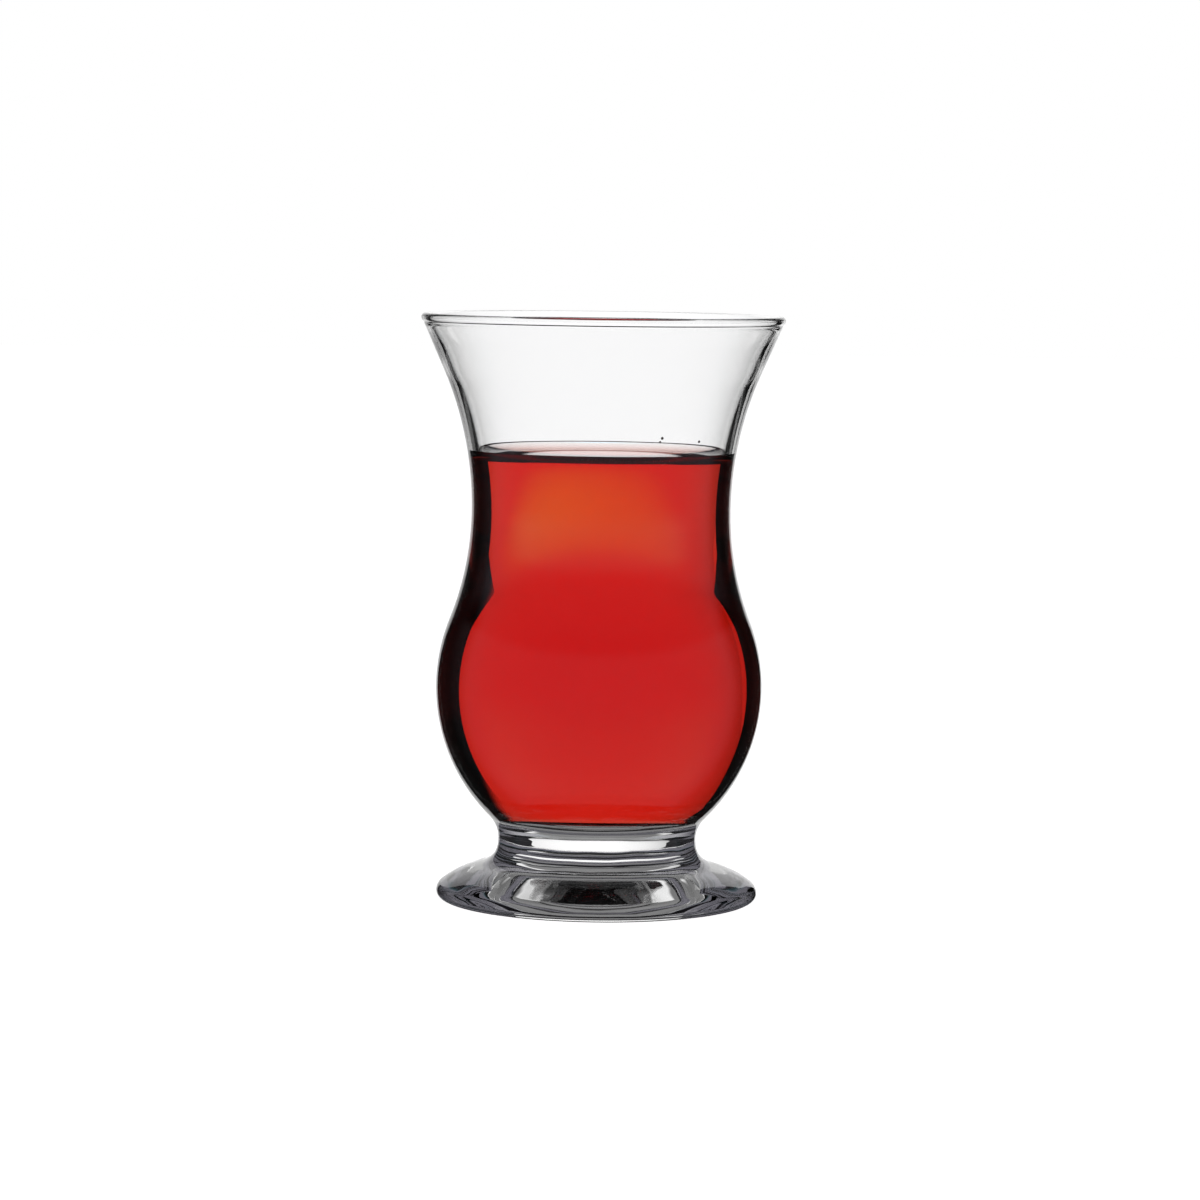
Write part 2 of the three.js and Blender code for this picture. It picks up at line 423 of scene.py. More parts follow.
# %% Run a tree on a piece and keep the result as a plain mesh
def grown(piece, tree, values):
    """Give the tree its inputs by identifier, then swap the piece's mesh for the result."""
    modifier = piece.modifiers.new(tree.name, "NODES")
    modifier.node_group = tree
    names = {item.name: item.identifier for item in tree.interface.items_tree
             if item.in_out == "INPUT"}
    for name, value in values.items():
        modifier[names[name]] = value
    ready = piece.evaluated_get(bpy.context.evaluated_depsgraph_get())
    mesh = bpy.data.meshes.new_from_object(ready)
    piece.modifiers.remove(modifier)
    mesh.name = piece.name
    piece.data = mesh
    print(piece.name, "after", tree.name, len(mesh.vertices), "vertices", len(mesh.polygons), "faces")


# %% [markdown]
# ## The clear glass
#
# Soda-lime glass bends light by 1.52 and has no colour at this thickness. A Principled shader with
# full transmission does that. Two things keep it from being a flat setting. The fire-polished skin
# has faint ripples, a noise through a Bump node. And its gloss is not quite even: handling leaves
# patches that scatter a touch more light, a second, larger noise on the roughness, kept so low
# that the glass stays clear.
#
# The wall behind the tea needs its own version. There the glass touches tea, not air, and a
# boundary of glass and tea reflects ten times less than one of glass and air. The tea's mesh
# reaches a hair into the wall, so the bending is right by itself, and only the mirror has to be
# turned down. The dry wall above the tea gets a milder cut, because its two faces lie so close
# that in the real glass their reflections cover each other's shadows.

# %% Glass finishes
GLASS_BENDS = 1.52
RIPPLES_PER_METRE = 70.0
RIPPLE_HEIGHT = 0.00004
RIPPLE_STRENGTH = 0.12
HANDLING_PATCHES_PER_METRE = 35.0
PATCH_FROM, PATCH_FULL = 0.45, 0.75
ROUGHEST_PATCH = 0.012


def glass_finish(name, mirror):
    material = bpy.data.materials.new(name)
    material.use_nodes = True
    tree = material.node_tree
    shader = tree.nodes["Principled BSDF"]
    shader.inputs["Base Color"].default_value = (1, 1, 1, 1)
    shader.inputs["IOR"].default_value = GLASS_BENDS
    shader.inputs["Transmission Weight"].default_value = 1.0
    shader.inputs["Specular IOR Level"].default_value = mirror
    where = tree.nodes.new("ShaderNodeTexCoord").outputs["Object"]
    ripple = add_node(tree, "ShaderNodeTexNoise", Vector=where, Scale=RIPPLES_PER_METRE, Detail=2.0)
    bump = add_node(tree, "ShaderNodeBump", Height=ripple.outputs[0], Strength=RIPPLE_STRENGTH,
                    Distance=RIPPLE_HEIGHT)
    tree.links.new(bump.outputs[0], shader.inputs["Normal"])
    patch = add_node(tree, "ShaderNodeTexNoise", Vector=where, Scale=HANDLING_PATCHES_PER_METRE,
                     Detail=3.0)
    rough = product(tree, fade(tree, patch.outputs[0], PATCH_FROM, PATCH_FULL), ROUGHEST_PATCH)
    tree.links.new(rough, shader.inputs["Roughness"])
    print("finish", name, "mirror level", mirror)
    return material


clear_glass = glass_finish("clear_glass", mirror=0.5)
wetted_glass = glass_finish("wetted_glass", mirror=0.05)
dry_wall = glass_finish("dry_wall", mirror=0.2)

# %% Turn the glass and press its foot
GLASS_STEPS_AROUND = 192
WAVE_HEIGHT = 0.0003
WAVES_PER_METRE = 130.0
FLAT_BELOW, WAVY_ABOVE = 0.0002, 0.003
WAVY_BELOW, FLAT_ABOVE = 0.0105, 0.0145

bead_inside = arc(lip, 90, BEAD_INNER_ANGLE, 14)
glass = turned(
    "clear_glass",
    joined(foot_outline(), bowl_outside(), bead_inside, bowl_inside(0, HEIGHT)),
    GLASS_STEPS_AROUND,
)
grown(glass, press_wave_tree(), {
    "Wave height": WAVE_HEIGHT,
    "Waves per metre": WAVES_PER_METRE,
    "Flat below": FLAT_BELOW,
    "Full above": WAVY_ABOVE,
    "Full below": WAVY_BELOW,
    "Flat above": FLAT_ABOVE,
    "Finish": clear_glass,
})

# %% Give the wetted and the dry wall their own finish
TEA_LEVEL = 73.4
TEA_CLIMB = 1.4
INSIDE_STARTS = 13.0
DRY_WALL_ENDS = lip[1] - 0.3
WETTED_ENDS = TEA_LEVEL + TEA_CLIMB - 0.2
LEVEL_FACE = 0.97

glass.data.materials.append(wetted_glass)
glass.data.materials.append(dry_wall)
counts = [0, 0, 0]
for face in glass.data.polygons:
    middle, normal = face.center, face.normal
    z = middle.z / MM
    to_axis = normal.x * middle.x + normal.y * middle.y < 0 or normal.z > LEVEL_FACE
    if to_axis and INSIDE_STARTS < z < DRY_WALL_ENDS:
        face.material_index = 1 if z < WETTED_ENDS else 2
    counts[face.material_index] += 1
print("faces outside, wetted, dry", counts)

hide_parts("glass")
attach(glass, "root")

# %% [markdown]
# ## The tea
#
# Tea wets glass: at its edge it climbs the wall by about a millimetre, and that small ramp is what
# draws the dark line round the surface. The climb dies away over two millimetres, so an
# exponential curve gives it. The side of the tea reaches a hair into the wall, so that no film of
# air shows between them. Only over the bowl's floor does it stop a hair short: light that comes up
# through the foot is turned back there, which keeps the foot clear instead of filling it with red.

# %% The tea's outline
TEA_CLIMB_REACH = 1.8
TEA_INTO_WALL = 0.12
TEA_OFF_FLOOR = 0.15
OFF_FLOOR_BELOW, OFF_FLOOR_FULL = 18.0, 14.8
TEA_EDGE_STEP = 0.3
TEA_EDGE_STEPS = 25


def raised(line):
    """The low end of the wall line, lifted off the floor of the bowl by a hair."""
    out = []
    for r, z in line:
        share = min(1, max(0, (OFF_FLOOR_BELOW - z) / (OFF_FLOOR_BELOW - OFF_FLOOR_FULL)))
        lift = share * TEA_OFF_FLOOR
        out.append((max(0, r - lift * (1 - share)), z + lift))
    return out


def tea_outline():
    wall = bowl_inside(TEA_INTO_WALL, TEA_LEVEL + TEA_CLIMB)
    edge = wall[0][0]
    surface = []
    for i in range(TEA_EDGE_STEPS):
        inwards = TEA_EDGE_STEP * i
        surface.append((edge - inwards, TEA_LEVEL + TEA_CLIMB * math.exp(-inwards / TEA_CLIMB_REACH)))
    surface.append((0, TEA_LEVEL))
    return joined(raised(wall[::-1]), surface)


# %% [markdown]
# Black tea is clear, so its colour is all in its depth: a spoonful looks pale, a glassful
# crimson. Painting it red would miss that. Volume Absorption does what the real tea does: blue
# and green fade within a centimetre, red hardly at all. The three shares were set from how the
# colour shifts between the narrow waist and the wide belly. The skin of the tea gets a very faint
# ripple, because a liquid that has just been poured is never a mirror.

# %% The tea's finish
TEA_BENDS = 1.333
TEA_LETS_THROUGH = (0.956, 0.5, 0.4, 1)
TEA_STRENGTH = 250.0
SURFACE_RIPPLES_PER_METRE = 45.0
SURFACE_RIPPLE = 0.05


def tea_finish():
    material = bpy.data.materials.new("black_tea")
    material.use_nodes = True
    tree = material.node_tree
    shader = tree.nodes["Principled BSDF"]
    shader.inputs["Base Color"].default_value = (1, 1, 1, 1)
    shader.inputs["Roughness"].default_value = 0.0
    shader.inputs["IOR"].default_value = TEA_BENDS
    shader.inputs["Transmission Weight"].default_value = 1.0
    where = tree.nodes.new("ShaderNodeTexCoord").outputs["Object"]
    ripple = add_node(tree, "ShaderNodeTexNoise", Vector=where, Scale=SURFACE_RIPPLES_PER_METRE)
    bump = add_node(tree, "ShaderNodeBump", Height=ripple.outputs[0], Strength=SURFACE_RIPPLE,
                    Distance=RIPPLE_HEIGHT)
    tree.links.new(bump.outputs[0], shader.inputs["Normal"])
    depth = add_node(tree, "ShaderNodeVolumeAbsorption", Color=TEA_LETS_THROUGH, Density=TEA_STRENGTH)
    tree.links.new(depth.outputs[0], tree.nodes["Material Output"].inputs["Volume"])
    print("tea takes per metre", [round(TEA_STRENGTH * (1 - c)) for c in TEA_LETS_THROUGH[:3]])
    return material


black_tea = tea_finish()
tea = turned("black_tea", tea_outline(), GLASS_STEPS_AROUND)
tea.data.materials.append(black_tea)
tea.visible_glossy = False
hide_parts("tea")
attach(tea, "root")

# %% [markdown]
# ## A few dark specks
#
# Three small dark specks stick to the back wall, just above the tea.
# They could be scattered at random, but the ones that the photograph shows are better listed one
# by one. One point stands for each speck, and a Geometry Nodes tree puts a small grain on every
# point, shrinks each one by its own random share and joins them into one mesh. Each grain is a
# coarse ball that a noise has dented, so that none is quite round.

# %% The tree that puts a grain on each point
def grain_tree():
    tree = bpy.data.node_groups.new("grains_on_points", "GeometryNodeTree")
    face = tree.interface
    face.new_socket("Geometry", in_out="INPUT", socket_type="NodeSocketGeometry")
    for name, value in (("Grain radius", 0.0003), ("Smallest share", 0.6),
                        ("Dents per metre", 2000.0)):
        socket = face.new_socket(name, in_out="INPUT", socket_type="NodeSocketFloat")
        socket.default_value = value
    face.new_socket("Seed", in_out="INPUT", socket_type="NodeSocketInt")
    face.new_socket("Finish", in_out="INPUT", socket_type="NodeSocketMaterial")
    face.new_socket("Geometry", in_out="OUTPUT", socket_type="NodeSocketGeometry")
    given = tree.nodes.new("NodeGroupInput").outputs
    ball = add_node(tree, "GeometryNodeMeshIcoSphere", Radius=given["Grain radius"], Subdivisions=3)
    place = tree.nodes.new("GeometryNodeInputPosition").outputs[0]
    dents = add_node(tree, "ShaderNodeTexNoise", Vector=place, Scale=given["Dents per metre"])
    depth = product(tree, sums(tree, "SUBTRACT", dents.outputs[0], NOISE_MIDDLE), given["Grain radius"])
    inwards = add_node(tree, "ShaderNodeVectorMath", {"operation": "SCALE"},
                       Vector=tree.nodes.new("GeometryNodeInputNormal").outputs[0], Scale=depth)
    dented = add_node(tree, "GeometryNodeSetPosition", Geometry=ball.outputs[0],
                      Offset=inwards.outputs[0])
    smooth = add_node(tree, "GeometryNodeSetShadeSmooth", Geometry=dented.outputs[0])
    share = add_node(tree, "FunctionNodeRandomValue", {"data_type": "FLOAT"},
                     Min=given["Smallest share"], Max=1.0, Seed=given["Seed"])
    spots = add_node(tree, "GeometryNodeMeshToPoints", Mesh=given["Geometry"])
    placed = add_node(tree, "GeometryNodeInstanceOnPoints", Points=spots.outputs[0],
                      Instance=smooth.outputs[0],
                      Scale=next(s for s in share.outputs if s.enabled))
    real = add_node(tree, "GeometryNodeRealizeInstances", Geometry=placed.outputs[0])
    dressed = add_node(tree, "GeometryNodeSetMaterial", Geometry=real.outputs[0],
                       Material=given["Finish"])
    sink = tree.nodes.new("NodeGroupOutput")
    tree.links.new(dressed.outputs[0], sink.inputs[0])
    return tree


# %% The specks' finish: wet, dark brown, uneven
# The specks are opaque dark brown grains, uneven in colour and gloss.
SPECK_DARK, SPECK_LIGHT = (0.02, 0.008, 0.004, 1), (0.09, 0.035, 0.015, 1)
SPECK_NOISE_PER_METRE = 3000.0
SPECK_ROUGHNESS = (0.25, 0.6)


def speck_finish():
    material = bpy.data.materials.new("dark_speck")
    material.use_nodes = True
    tree = material.node_tree
    shader = tree.nodes["Principled BSDF"]
    where = tree.nodes.new("ShaderNodeTexCoord").outputs["Object"]
    noise = add_node(tree, "ShaderNodeTexNoise", Vector=where, Scale=SPECK_NOISE_PER_METRE)
    colour = tree.nodes.new("ShaderNodeValToRGB")
    colour.color_ramp.elements[0].color = SPECK_DARK
    colour.color_ramp.elements[1].color = SPECK_LIGHT
    tree.links.new(noise.outputs[0], colour.inputs[0])
    tree.links.new(colour.outputs[0], shader.inputs["Base Color"])
    rough = add_node(tree, "ShaderNodeMapRange", Value=noise.outputs[0],
                     To_Min=SPECK_ROUGHNESS[0], To_Max=SPECK_ROUGHNESS[1])
    tree.links.new(rough.outputs["Result"], shader.inputs["Roughness"])
    return material


# %% Place the specks, by how far round and how high they sit
GRAIN_RADIUS = 0.00026
GRAIN_SINK = 0.05
SMALLEST_GRAIN_SHARE = 0.6
DENTS_PER_METRE = 2600.0
GRAIN_SEED = 7
SPECKS = ((59, 75.5), (34, 75.3), (60, 74.9))


def wall_radius(height):
    """The inside radius of the bowl at a height, from its own arcs."""
    return bowl_inside(0, height)[0][0]


spots = bpy.data.meshes.new("dark_speck")
points = []
for turn, height in SPECKS:
    reach = wall_radius(height) - GRAIN_RADIUS / MM + GRAIN_SINK
    points.append((reach * cos(turn) * MM, reach * sin(turn) * MM, height * MM))
spots.from_pydata(points, [], [])
specks = bpy.data.objects.new("dark_speck", spots)
bpy.context.scene.collection.objects.link(specks)
grown(specks, grain_tree(), {
    "Grain radius": GRAIN_RADIUS,
    "Smallest share": SMALLEST_GRAIN_SHARE,
    "Dents per metre": DENTS_PER_METRE,
    "Seed": GRAIN_SEED,
    "Finish": speck_finish(),
})
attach(specks, "root")

# %% [markdown]
# ## The room
#
# Clear things have no look of their own, so the room is part of the portrait. The photograph was
# lit in the way that is usual for drinks: a bright screen behind the glass, black cards at both
# sides, and a dim room in front. The screen shines through the tea, the cards draw the black
# lines along both edges, and the dim room leaves a faint veil on the front.
#
# Area lights would do, but the world is simpler to steer: its light follows from the direction
# and from the way that the ray has come. The Light Path node counts how often a ray was bent into
# or out of something and how often it was mirrored. The camera sees plain white. A ray that has
# been mirrored sees the dim room. A ray through four faces of glass crossed only the empty part
# of the bowl and sees white, and a ray through more faces crossed the tea and sees a bright room,
# so both look alike from every side. Light that is mirrored under the foot and goes up through
# the bowl would be lost in the real tea, so it is lost here too. The bounds lie halfway between
# two counts.

# %% Kinds of ray, told apart by their counts
BENT_ONCE, MIRRORED_ONCE = 0.5, 0.5
CLEAR_CROSSINGS = (3.5, 4.5)
BOWL_CROSSINGS = 2.5


def more(tree, count, bound):
    """1 where a ray's count of that name is above the bound."""
    path = tree.nodes.new("ShaderNodeLightPath").outputs
    return sums(tree, "GREATER_THAN", path[count], bound)


def fewer(tree, count, bound):
    """1 where a ray's count of that name is below the bound."""
    path = tree.nodes.new("ShaderNodeLightPath").outputs
    return sums(tree, "LESS_THAN", path[count], bound)


def clear_ray(tree):
    """1 for a ray that crossed only the empty bowl: four faces, and no mirror on the way."""
    few = fewer(tree, "Transmission Depth", CLEAR_CROSSINGS[1])
    some = more(tree, "Transmission Depth", CLEAR_CROSSINGS[0])
    return product(tree, few, some, fewer(tree, "Glossy Depth", MIRRORED_ONCE))


def through_tea(tree):
    """1 for a ray that crossed the tea and was never mirrored on the way."""
    many = more(tree, "Transmission Depth", CLEAR_CROSSINGS[1])
    return product(tree, many, fewer(tree, "Glossy Depth", MIRRORED_ONCE))


def mirrored_and_crossed(tree):
    """Two shares: mirrored under the foot and straight out, and mirrored and up through the bowl."""
    mirrored = more(tree, "Glossy Depth", MIRRORED_ONCE)
    entered = more(tree, "Transmission Depth", BENT_ONCE)
    crossed = more(tree, "Transmission Depth", BOWL_CROSSINGS)
    straight_out = product(tree, entered, sums(tree, "SUBTRACT", 1.0, crossed))
    return product(tree, mirrored, straight_out), product(tree, mirrored, crossed)


def keep(tree, *losses):
    """What is left of the light after several losses, each a (share of rays, share lost)."""
    left = 1.0
    for rays, lost in losses:
        left = product(tree, left, sums(tree, "SUBTRACT", 1.0, product(tree, rays, lost)))
    return left


# %% Directions in the room
STEEP = (12, 18)


def room_tree():
    world = bpy.data.worlds.new("studio")
    bpy.context.scene.world = world
    world.use_nodes = True
    world.node_tree.nodes.clear()
    return world.node_tree


def round_and_up(tree):
    """Degrees round from straight behind the glass, and degrees up from level."""
    way = tree.nodes.new("ShaderNodeTexCoord").outputs["Generated"]
    x, y, z = add_node(tree, "ShaderNodeSeparateXYZ", Vector=way).outputs
    turn = sums(tree, "DEGREES", sums(tree, "ARCTAN2", x, y))
    lift = sums(tree, "DEGREES", sums(tree, "ARCSINE", z))
    return sums(tree, "ABSOLUTE", turn), lift


# %% [markdown]
# By direction, the room is dark behind the glass, where the screen and the flags take over. The
# dim room begins some 60 degrees round from there, and a paler ceiling 50 degrees up. The far
# room, which rays that were only bent see, begins a quarter turn round and also well below, where
# a table would send light up. Each edge is a soft ramp, because a hard one would show in the
# glass as a line.

# %% The room's light by direction
DIM_ROOM = (0.15, 0.145, 0.17)
DIM_ROOM_STARTS = ((62, 78), (60, 76), (60, 76))
ABOVE_LIGHT = 0.3
ABOVE_STARTS = (50, 60)
LEAST_LIGHT = 0.008
FAR_ROOM = 0.75
FAR_ROOM_STARTS = (84, 92)
TABLE_STARTS = (-50, -62)
CLEAR_LIGHT = 1.1
TEA_ROOM = 0.9

tree = room_tree()
turn, lift = round_and_up(tree)
above = product(tree, fade(tree, lift, *ABOVE_STARTS), ABOVE_LIGHT)
up_through_bowl = mirrored_and_crossed(tree)[1]
kept = keep(tree, (up_through_bowl, fade(tree, lift, *STEEP)))
dim = tree.nodes.new("ShaderNodeCombineColor")
for socket, light, starts in zip(dim.inputs, DIM_ROOM, DIM_ROOM_STARTS):
    part = product(tree, fade(tree, turn, *starts), light)
    part = sums(tree, "ADD", sums(tree, "ADD", part, above), LEAST_LIGHT)
    tree.links.new(product(tree, part, kept), socket)
far = sums(tree, "MAXIMUM", fade(tree, turn, *FAR_ROOM_STARTS), fade(tree, lift, *TABLE_STARTS))
far = product(tree, far, FAR_ROOM)
far = sums(tree, "ADD", sums(tree, "ADD", far, above), LEAST_LIGHT)

# %% Give each kind of ray its background
WHITE = 1.0


def background(light):
    node = tree.nodes.new("ShaderNodeBackground")
    if isinstance(light, bpy.types.NodeSocket):
        target = "Color" if light.type == "RGBA" else "Strength"
        tree.links.new(light, node.inputs[target])
    else:
        node.inputs["Strength"].default_value = light
    if not node.inputs["Color"].is_linked:
        node.inputs["Color"].default_value = (1, 1, 1, 1)
    return node.outputs[0]


def either(share, without, with_it):
    node = tree.nodes.new("ShaderNodeMixShader")
    tree.links.new(share, node.inputs[0])
    tree.links.new(without, node.inputs[1])
    tree.links.new(with_it, node.inputs[2])
    return node.outputs[0]


kind = tree.nodes.new("ShaderNodeLightPath").outputs
never_mirrored = fewer(tree, "Glossy Depth", MIRRORED_ONCE)
only_bent = product(tree, kind["Is Transmission Ray"], never_mirrored)
seen = either(only_bent, background(dim.outputs[0]), background(far))
seen = either(clear_ray(tree), seen, background(CLEAR_LIGHT))
seen = either(through_tea(tree), seen, background(TEA_ROOM))
seen = either(kind["Is Camera Ray"], seen, background(WHITE))
tree.links.new(seen, tree.nodes.new("ShaderNodeOutputWorld").inputs["Surface"])
print("room light", DIM_ROOM, "far room", FAR_ROOM)

# %% [markdown]
# The floor is a plain pale sheet. It glows a little, so that it stays as white as the room and
# shows no edge where the two meet. Rays that the glass bends pass through it to the room below,
# so the foot is lit evenly.

# %% The floor
FLOOR_HALF = 3.0
FLOOR_DROP = 0.0002
FLOOR_GLOW = 0.97
FLOOR_GREY = (0.8, 0.8, 0.8, 1)
FLOOR_ROUGHNESS = 0.8

floor_mesh = bpy.data.meshes.new("floor")
floor_corners = [(x * FLOOR_HALF, y * FLOOR_HALF, 0) for x, y in ((-1, -1), (1, -1), (1, 1), (-1, 1))]
floor_mesh.from_pydata(floor_corners, [], [(0, 1, 2, 3)])
floor = bpy.data.objects.new("floor", floor_mesh)
floor.location.z = -FLOOR_DROP
bpy.context.scene.collection.objects.link(floor)
pale = bpy.data.materials.new("pale_floor")
pale.use_nodes = True
shader = pale.node_tree.nodes["Principled BSDF"]
shader.inputs["Base Color"].default_value = FLOOR_GREY
shader.inputs["Roughness"].default_value = FLOOR_ROUGHNESS
shader.inputs["Emission Color"].default_value = (1, 1, 1, 1)
shader.inputs["Emission Strength"].default_value = FLOOR_GLOW
floor_mesh.materials.append(pale)
floor.visible_transmission = False
floor.visible_glossy = False

# %% [markdown]
# ## The screen behind the glass
#
# The screen stands 140 mm behind the axis. It lights the middle of the tea and draws the white
# window in the stem. It fades a little towards its ends, as a real lamp behind cloth does. In the
# photograph the foot shows only thin bright outlines of it, with a dark middle, so a ray that was
# mirrored under the foot sees little more than the screen's side margins. It is a backdrop and
# not part of the glass, and the camera doesn't see it.
#
# One helper makes the flat mesh of the screen and, further on, of the lamp. A second makes a
# material that only shines, by a strength or a colour, and lets some rays pass; the flags use it
# too, with no light at all. A plain painted card would need a lamp of its own to be seen.

# %% Cards that shine
STRAIGHT_BLEND = 0.5


def card(name, corners, behind):
    """A flat upright card that the camera doesn't see, by its corners (across, up) in millimetres."""
    mesh = bpy.data.meshes.new(name)
    mesh.from_pydata([(x * MM, behind * MM, z * MM) for x, z in corners], [],
                     [tuple(range(len(corners)))])
    piece = bpy.data.objects.new(name, mesh)
    bpy.context.scene.collection.objects.link(piece)
    piece.visible_camera = False
    return piece


def glowing(name, paint):
    """A material that only shines. Paint fills its tree and returns (socket, see-through share)."""
    material = bpy.data.materials.new(name)
    material.use_nodes = True
    tree = material.node_tree
    tree.nodes.clear()
    light, clear = paint(tree)
    shine = tree.nodes.new("ShaderNodeEmission")
    tree.links.new(light, shine.inputs["Color" if light.type == "RGBA" else "Strength"])
    open_air = tree.nodes.new("ShaderNodeBsdfTransparent")
    if clear is None:
        both = tree.nodes.new("ShaderNodeAddShader")
        tree.links.new(shine.outputs[0], both.inputs[0])
        tree.links.new(open_air.outputs[0], both.inputs[1])
    else:
        both = tree.nodes.new("ShaderNodeMixShader")
        tree.links.new(clear, both.inputs[0])
        tree.links.new(shine.outputs[0], both.inputs[1])
        tree.links.new(open_air.outputs[0], both.inputs[2])
    tree.links.new(both.outputs[0], tree.nodes.new("ShaderNodeOutputMaterial").inputs["Surface"])
    return material


def across_and_up(tree):
    """Where a ray meets a card: across and up, in metres."""
    where = tree.nodes.new("ShaderNodeTexCoord").outputs["Object"]
    x, _, z = add_node(tree, "ShaderNodeSeparateXYZ", Vector=where).outputs
    return x, z


def fade_mm(tree, value, start, end):
    """The soft ramp again, between two places in millimetres."""
    return fade(tree, value, start * MM, end * MM)


def turned_away(tree, **inputs):
    """1 minus the cosine between the ray and the way the card faces, or a given normal."""
    node = add_node(tree, "ShaderNodeLayerWeight", Blend=STRAIGHT_BLEND, **inputs)
    return node.outputs["Facing"]


# %% [markdown]
# The tea swallows nearly all green and blue, so under the even light of the screen its lower belly
# and the lower half of its waist go too pure a red. A low patch of the screen therefore shines
# more green and blue, and only rays that crossed the tea see that.

# %% Make the screen
SCREEN_BEHIND = 140
SCREEN_CORNERS = (
    (-76, -60), (68, -60), (68, 25), (82, 60), (82, 190), (-90, 190), (-90, 60), (-76, 25)
)
SCREEN_LIGHT = 1.12
FADES_LEFT, FADES_RIGHT = -170, 260
UNDERFOOT_LOSS = 0.8
UNDERFOOT_MARGIN = (52, 62)
STEEP_FACING = (0.03, 0.05)
PATCH_BOTTOM, PATCH_TOP, PATCH_SIDE = (18, 30), (60, 44), (48, 26)
PATCH_LIGHT = (0.0, 1.7, 2.4)


def screen_paint(tree):
    x, z = across_and_up(tree)
    aside = sums(tree, "ABSOLUTE", x)
    ends = product(tree, fade_mm(tree, x, FADES_LEFT, 0), fade_mm(tree, x, FADES_RIGHT, 0))
    inner = fade_mm(tree, aside, *reversed(UNDERFOOT_MARGIN))
    underfoot, up_through_bowl = mirrored_and_crossed(tree)
    kept = keep(tree, (underfoot, product(tree, inner, UNDERFOOT_LOSS)),
                (up_through_bowl, fade(tree, turned_away(tree), *STEEP_FACING)))
    light = product(tree, ends, SCREEN_LIGHT, kept)
    patch = product(tree, fade_mm(tree, z, *PATCH_BOTTOM), fade_mm(tree, z, *PATCH_TOP),
                    fade_mm(tree, aside, *PATCH_SIDE), through_tea(tree))
    colour = tree.nodes.new("ShaderNodeCombineColor")
    for socket, extra in zip(colour.inputs, PATCH_LIGHT):
        tree.links.new(sums(tree, "ADD", light, product(tree, patch, extra)), socket)
    return colour.outputs[0], clear_ray(tree)


screen = card("screen", SCREEN_CORNERS, SCREEN_BEHIND)
screen.data.materials.append(glowing("screen_glow", screen_paint))

# %% [markdown]
# ## Two black flags
#
# The black lines down both edges of the tea are the photographer's work. Two black cards, called
# flags, stand close behind the glass, just outside the straight view. Light that reaches the edge
# of the tea is bent the most, so the edge looks at the flags while the middle looks past them.
# They stand near, so that from the side the tea looks past them too and stays red. Each flag is
# wider at the height of the belly's light than at the waist's, and its outer side comes forward.
#
# Only rays that crossed the tea and run well to one side see the flags. Rays that dive through
# the thin edge of the tea's surface run nearly straight back, and would draw black sickles there.

# %% Stand the flags up
FLAG_BEHIND = 48
FLAG_EDGES = {-1: (-8.6, -12.8), 1: (4.8, 9.8)}
FLAG_LOW, BELLY_LIGHT_TOP, WAIST_LIGHT_BOTTOM, FLAG_HIGH = 18, 33, 46, 95
FLAG_END = (44, 24)
SIDEWAYS_FROM, SIDEWAYS_FULL = 0.6, 0.5


def flag_paint(tree):
    black = tree.nodes.new("ShaderNodeValue").outputs[0]
    black.default_value = 0.0
    across = add_node(tree, "ShaderNodeCombineXYZ", X=1.0)
    away = turned_away(tree, Normal=across.outputs[0])
    sideways = fade(tree, away, SIDEWAYS_FROM, SIDEWAYS_FULL)
    return black, sums(tree, "SUBTRACT", 1.0, product(tree, through_tea(tree), sideways))


black_flag = glowing("black_flag", flag_paint)
for side, (low_edge, high_edge) in FLAG_EDGES.items():
    line = [(FLAG_LOW, low_edge), (BELLY_LIGHT_TOP, low_edge),
            (WAIST_LIGHT_BOTTOM, high_edge), (FLAG_HIGH, high_edge)]
    near = [(x * MM, FLAG_BEHIND * MM, z * MM) for z, x in line]
    outer = [(side * FLAG_END[0] * MM, FLAG_END[1] * MM, z * MM) for z, _ in line]
    mesh = bpy.data.meshes.new("flag")
    count = len(line)
    faces = [(i, i + 1, count + i + 1, count + i) for i in range(count - 1)]
    mesh.from_pydata(near + outer, [], faces)
    flag = bpy.data.objects.new("flag_left" if side < 0 else "flag_right", mesh)
    bpy.context.scene.collection.objects.link(flag)
    mesh.materials.append(black_flag)
    flag.visible_camera = False
    flag.visible_glossy = False
    flag.visible_diffuse = False

# %% [markdown]
# ## The warm patch
#
# In the photograph a small lamp shines through the waist and turns the tea orange there. The tea
# lets so little green through that the lamp's green has to be strong to be seen at all, while its
# red would burn out, so the lamp is mostly green and only rays that crossed the tea see it. One
# more thing has to be kept out: rays that dive through the thin edge of the tea's surface would
# show the bare green. They come down steeply, and a card that leans back can tell them from the
# level ones by the angle at which they meet it, which is what the Layer Weight node measures.

# %% Make the lamp
LAMP_BEHIND = 75
LAMP_MIDDLE = (2.4, 62.5)
LAMP_HALF = (14.0, 29.0)
LAMP_TOP, LAMP_TOP_FADE = 78.0, 6.0
LAMP_TINT = (0.1, 7.4, 0.0)
LAMP_LEAN = 40
LEVEL_FROM, LEVEL_FULL = 0.11, 0.15


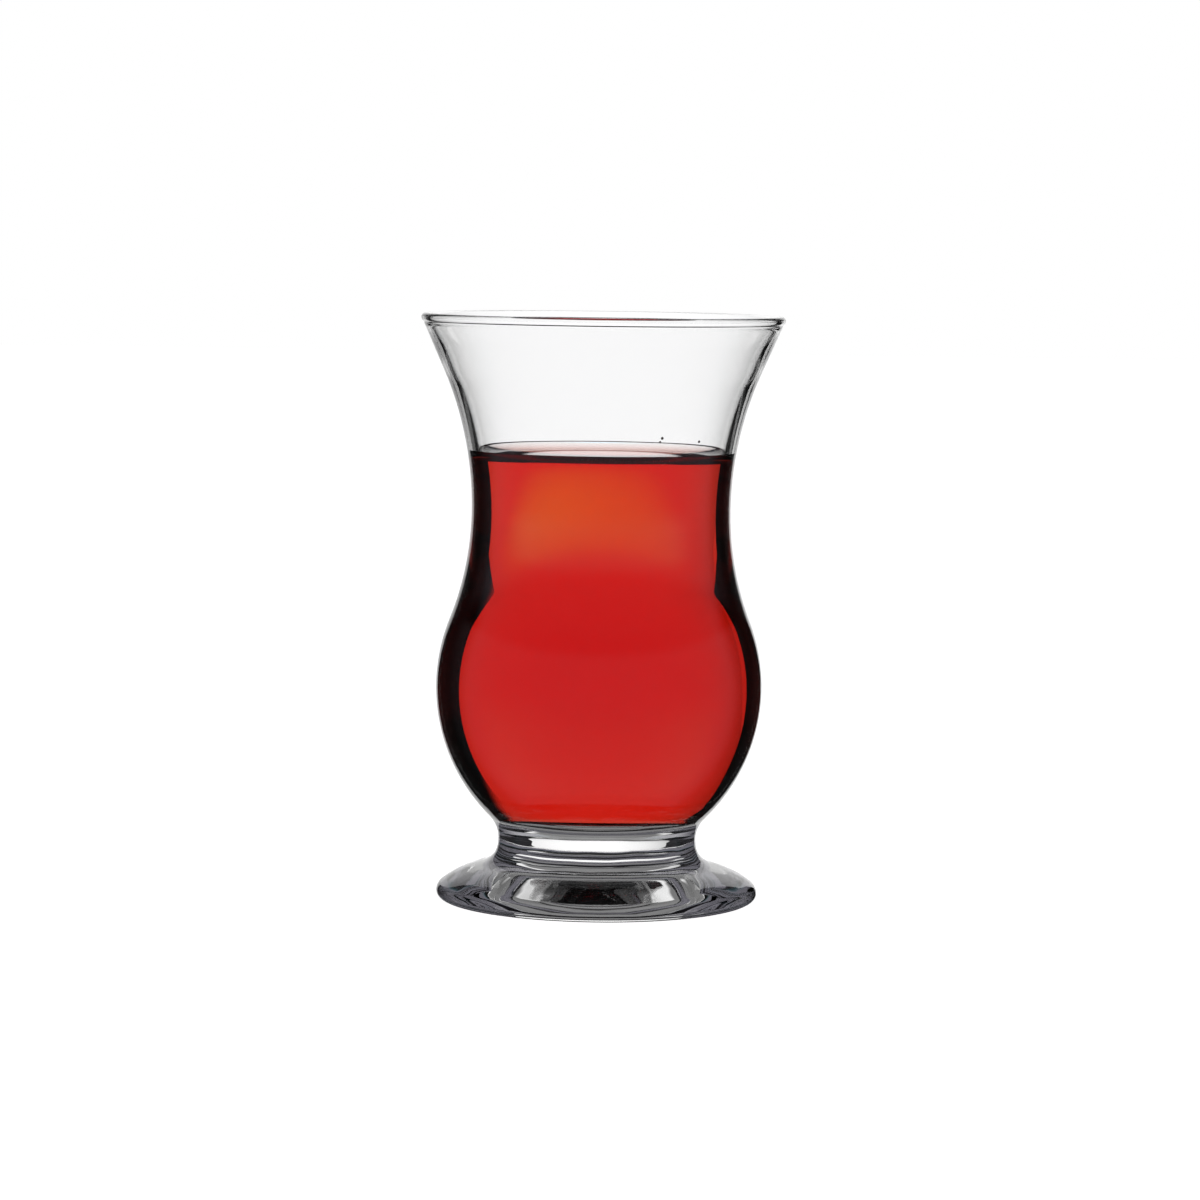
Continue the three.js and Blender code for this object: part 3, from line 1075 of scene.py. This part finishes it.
def lamp_paint(tree):
    squares = []
    x, z = across_and_up(tree)
    for value, middle, half in zip((x, z), LAMP_MIDDLE, LAMP_HALF):
        share = sums(tree, "DIVIDE", sums(tree, "SUBTRACT", value, middle * MM), half * MM)
        squares.append(product(tree, share, share))
    away = sums(tree, "SQRT", sums(tree, "ADD", *squares))
    top = fade_mm(tree, z, LAMP_TOP, LAMP_TOP - LAMP_TOP_FADE)
    level = fade(tree, turned_away(tree), LEVEL_FROM, LEVEL_FULL)
    core = product(tree, fade(tree, away, 1, 0), top, through_tea(tree), level)
    colour = tree.nodes.new("ShaderNodeCombineColor")
    for socket, tint in zip(colour.inputs, LAMP_TINT):
        tree.links.new(product(tree, core, tint), socket)
    return colour.outputs[0], None


lamp_corners = [(LAMP_MIDDLE[0] + across * LAMP_HALF[0], LAMP_MIDDLE[1] + up * LAMP_HALF[1])
                for across, up in ((-1, -1), (1, -1), (1, 1), (-1, 1))]
lamp = card("lamp", lamp_corners, LAMP_BEHIND)
for vertex in lamp.data.vertices:
    vertex.co.y += (vertex.co.z - LAMP_MIDDLE[1] * MM) * math.tan(math.radians(LAMP_LEAN))
lamp.visible_glossy = False
lamp.visible_diffuse = False
lamp.data.materials.append(glowing("lamp_glow", lamp_paint))
print("screen and lamp stand", SCREEN_BEHIND, "and", LAMP_BEHIND, "mm behind the axis")

# %% [markdown]
# ## The camera
#
# The photograph looks slightly down: the mouth is a narrow ellipse, the surface of the tea a wider
# one and the foot the widest. Their heights give the camera's height and distance, and the mouth's
# slope gives a small roll. A long lens keeps the outline nearly straight on.

# %% Place the camera
CAMERA_VIEW = 16.39
CAMERA_BACK = 0.688
CAMERA_HEIGHT = 0.1114
CAMERA_DOWN = 5.12
CAMERA_ROLL = 0.75

camera_data = bpy.data.cameras.new("camera")
camera_data.angle = math.radians(CAMERA_VIEW)
camera = bpy.data.objects.new("camera", camera_data)
bpy.context.scene.collection.objects.link(camera)
camera.matrix_world = (
    Matrix.Translation((0, -CAMERA_BACK, CAMERA_HEIGHT))
    @ Matrix.Rotation(math.radians(90 - CAMERA_DOWN), 4, "X")
    @ Matrix.Rotation(math.radians(CAMERA_ROLL), 4, "Z")
)
bpy.context.scene.camera = camera

# %% [markdown]
# A ray through this glass crosses six faces before it is out, and more in the foot, so the usual
# number of bounces would leave black spots. The plain view transform keeps white paper white.

# %% Bounces and view
THROUGH_GLASS = 32
OTHER_BOUNCES = 16

scene = bpy.context.scene
scene.view_settings.view_transform = "Standard"
scene.cycles.max_bounces = THROUGH_GLASS
scene.cycles.transmission_bounces = THROUGH_GLASS
scene.cycles.glossy_bounces = OTHER_BOUNCES
scene.cycles.transparent_max_bounces = OTHER_BOUNCES
